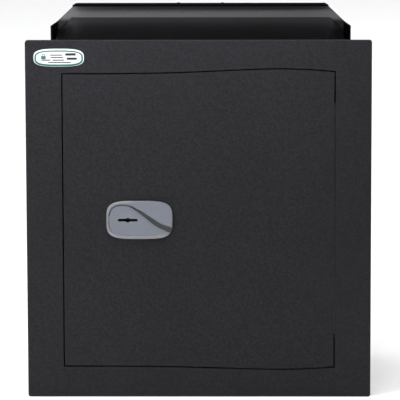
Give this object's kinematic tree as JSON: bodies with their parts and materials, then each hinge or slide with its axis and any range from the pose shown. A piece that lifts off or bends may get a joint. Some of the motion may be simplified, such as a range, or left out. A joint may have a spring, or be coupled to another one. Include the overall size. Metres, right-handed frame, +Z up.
{
  "type": "wall safe",
  "caption": "Key-locking wall safe with a wide front flange, a flush door on concealed pivots and a lipped back pan for building in.",
  "frame": {"origin": "centre of the bounding box at its bottom, which is the lower edge of the front flange", "axes": "+X to the right seen from the front, +Y from the front face to the back pan, +Z up"},
  "size_m": [0.41, 0.25, 0.443],
  "materials": {
    "powder_coat": "fine textured anthracite powder coat",
    "gloss_black": "semi-gloss black paint on sheet steel",
    "inner_grey": "satin dark grey paint",
    "zinc": "bright zinc plate",
    "bright_steel": "turned bright steel",
    "hard_steel": "blackened hardened steel",
    "brass": "milled brass",
    "escutcheon_blue_grey": "satin blue-grey moulding",
    "escutcheon_slate": "satin slate grey inlay",
    "label": "white vinyl label with a teal border",
    "felt": "dark needle felt"
  },
  "bodies": {
    "body": {"back_pan": "gloss_black", "body_bottom": "gloss_black", "body_left": "gloss_black", "body_right": "gloss_black", "body_top": "gloss_black", "floor_mat": "felt", "front_frame": "powder_coat", "hinge_pin_bottom": "bright_steel", "hinge_pin_top": "bright_steel", "jamb_left": "powder_coat", "lintel": "powder_coat", "lip_screw_left": "gloss_black", "lip_screw_right": "gloss_black", "oval_label": "label", "shelf": "inner_grey", "shelf_bracket_left": "inner_grey", "shelf_bracket_right": "inner_grey", "sill": "powder_coat"},
    "door": {"door_plate": "powder_coat", "drill_plate": "hard_steel", "escutcheon": "escutcheon_blue_grey", "escutcheon_wave": "escutcheon_slate", "hinge_block_top": "hard_steel", "hinge_block_bottom": "hard_steel", "dog_bar": "hard_steel", "door_cover": "inner_grey", "cover_screw_1": "zinc", "cover_screw_2": "zinc", "cover_screw_3": "zinc", "cover_screw_4": "zinc", "bolt_guide_upper": "hard_steel", "bolt_guide_lower": "hard_steel", "lock_case": "zinc", "lock_case_lid": "zinc", "lever_pin": "bright_steel"},
    "bolt_carriage": {"bolt_1": "bright_steel", "bolt_2": "bright_steel", "bolt_3": "bright_steel", "bolt_bar": "zinc", "guide_rod_upper": "bright_steel", "guide_rod_lower": "bright_steel"},
    "key_rotor": {"key_rotor": "hard_steel"},
    "lever_pack": {"lever_1": "brass", "lever_2": "brass", "lever_3": "brass", "lever_4": "brass"}
  },
  "joints": [
    {"name": "door_hinge", "type": "hinge", "parent": "body", "child": "door", "pos_m": [0.11075, -0.1106, 0.216], "axis": [0, 0, 1], "range_deg": [0, 110]},
    {"name": "bolt_slide", "type": "slide", "parent": "door", "child": "bolt_carriage", "axis": [-1, 0, 0], "range_m": [0, 0.01131]},
    {"name": "key_turn", "type": "hinge", "parent": "door", "child": "key_rotor", "pos_m": [-0.0845, -0.1016, 0.2162], "axis": [0, -1, 0], "range_deg": [0, 90.1]},
    {"name": "lever_lift", "type": "hinge", "parent": "door", "child": "lever_pack", "pos_m": [-0.0845, -0.1046, 0.2462], "axis": [0, -1, 0], "range_deg": [0, 5], "stiffness_Nm_per_rad": 0.5}
  ],
  "couplings": [
    {"joint": "key_turn", "follows": "bolt_slide", "rad_per_m": 138.84}
  ]
}
